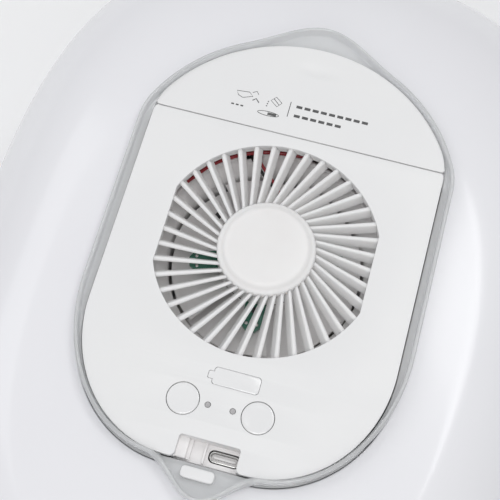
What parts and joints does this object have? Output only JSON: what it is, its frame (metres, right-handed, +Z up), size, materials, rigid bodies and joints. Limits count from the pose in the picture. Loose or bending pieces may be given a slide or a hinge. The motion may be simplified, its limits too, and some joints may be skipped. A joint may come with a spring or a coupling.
{
  "type": "cool mist humidifier",
  "caption": "Evaporative humidifier: a battery fan head with a radial grille, two buttons and a clear tabbed rim, in the neck of a translucent pebble-shaped water tank.",
  "frame": {"origin": "on the floor under the middle of the tank, on the fan's axis", "axes": "+Z up; +Y along the tank from the button end of the head to the cover end; +X to the right seen from the button end"},
  "size_m": [0.202, 0.266, 0.1198],
  "materials": {
    "tank_shell": "translucent milky injection-moulded plastic, glossy outside",
    "seal_rubber": "pale grey silicone, matte",
    "clear_tray": "clear polycarbonate with polished edges",
    "white_plastic": "white ABS with a fine satin moulding texture",
    "clear_button": "milky clear plastic, glossy",
    "light_pipe": "frosted light pipe",
    "circuit_board": "green solder mask over fibreglass, satin",
    "dark_plastic": "black moulded plastic and ferrite",
    "steel": "nickel-plated steel",
    "copper_winding": "enamelled copper winding on a laminated core",
    "red_wrap": "red shrink wrap",
    "black_wire": "black wire insulation",
    "wick_fibre": "white non-woven absorbent fibre"
  },
  "bodies": {
    "tank": {"tank_bowl": "tank_shell", "tank_seal": "seal_rubber", "foot_1": "seal_rubber", "foot_2": "seal_rubber", "foot_3": "seal_rubber", "foot_4": "seal_rubber"},
    "lid": {"tank_deck": "tank_shell"},
    "head": {"head_tray": "clear_tray", "head_panel": "white_plastic", "left_light": "light_pipe", "right_light": "light_pipe", "battery_window": "clear_button", "control_board": "circuit_board", "left_switch": "dark_plastic", "right_switch": "dark_plastic", "charge_socket": "steel", "fan_shroud": "white_plastic", "motor_board": "circuit_board", "motor_stator": "copper_winding", "upper_bearing": "steel", "lower_bearing": "steel", "battery_cradle": "white_plastic", "battery_cell": "red_wrap", "contact_plus": "steel", "contact_minus": "steel", "battery_lead_red": "red_wrap", "battery_lead_black": "black_wire", "motor_lead_red": "red_wrap", "motor_lead_black": "black_wire", "wick_filter": "wick_fibre", "wick_cage": "white_plastic", "panel_screw_1": "steel", "panel_screw_2": "steel", "panel_screw_3": "steel", "panel_screw_4": "steel", "board_screw_1": "steel", "board_screw_2": "steel", "shroud_screw_1": "steel", "shroud_screw_2": "steel", "shroud_screw_3": "steel"},
    "rotor": {"impeller": "white_plastic", "magnet_ring": "dark_plastic", "motor_shaft": "steel"},
    "cover": {"top_cover": "white_plastic"},
    "left_key": {"left_button": "clear_button"},
    "right_key": {"right_button": "clear_button"},
    "latch": {"latch_tongue": "white_plastic"}
  },
  "joints": [
    {"name": "lid_lift", "type": "slide", "parent": "tank", "child": "lid", "axis": [0, 0, 1], "range_m": [0, 0.06]},
    {"name": "head_lift", "type": "slide", "parent": "lid", "child": "head", "axis": [0, 0, 1], "range_m": [0, 0.13]},
    {"name": "fan_spin", "type": "hinge", "parent": "head", "child": "rotor", "pos_m": [0, 0, 0.102], "axis": [0, 0, 1], "continuous": true},
    {"name": "cover_lift", "type": "slide", "parent": "head", "child": "cover", "axis": [0, 0, 1], "range_m": [0, 0.02]},
    {"name": "left_press", "type": "slide", "parent": "head", "child": "left_key", "axis": [0, 0, -1], "range_m": [0, 0.0007], "stiffness_N_per_m": 300},
    {"name": "right_press", "type": "slide", "parent": "head", "child": "right_key", "axis": [0, 0, -1], "range_m": [0, 0.0007], "stiffness_N_per_m": 300},
    {"name": "latch_slide", "type": "slide", "parent": "head", "child": "latch", "axis": [0, 1, 0], "range_m": [0, 0.0018], "stiffness_N_per_m": 200}
  ]
}
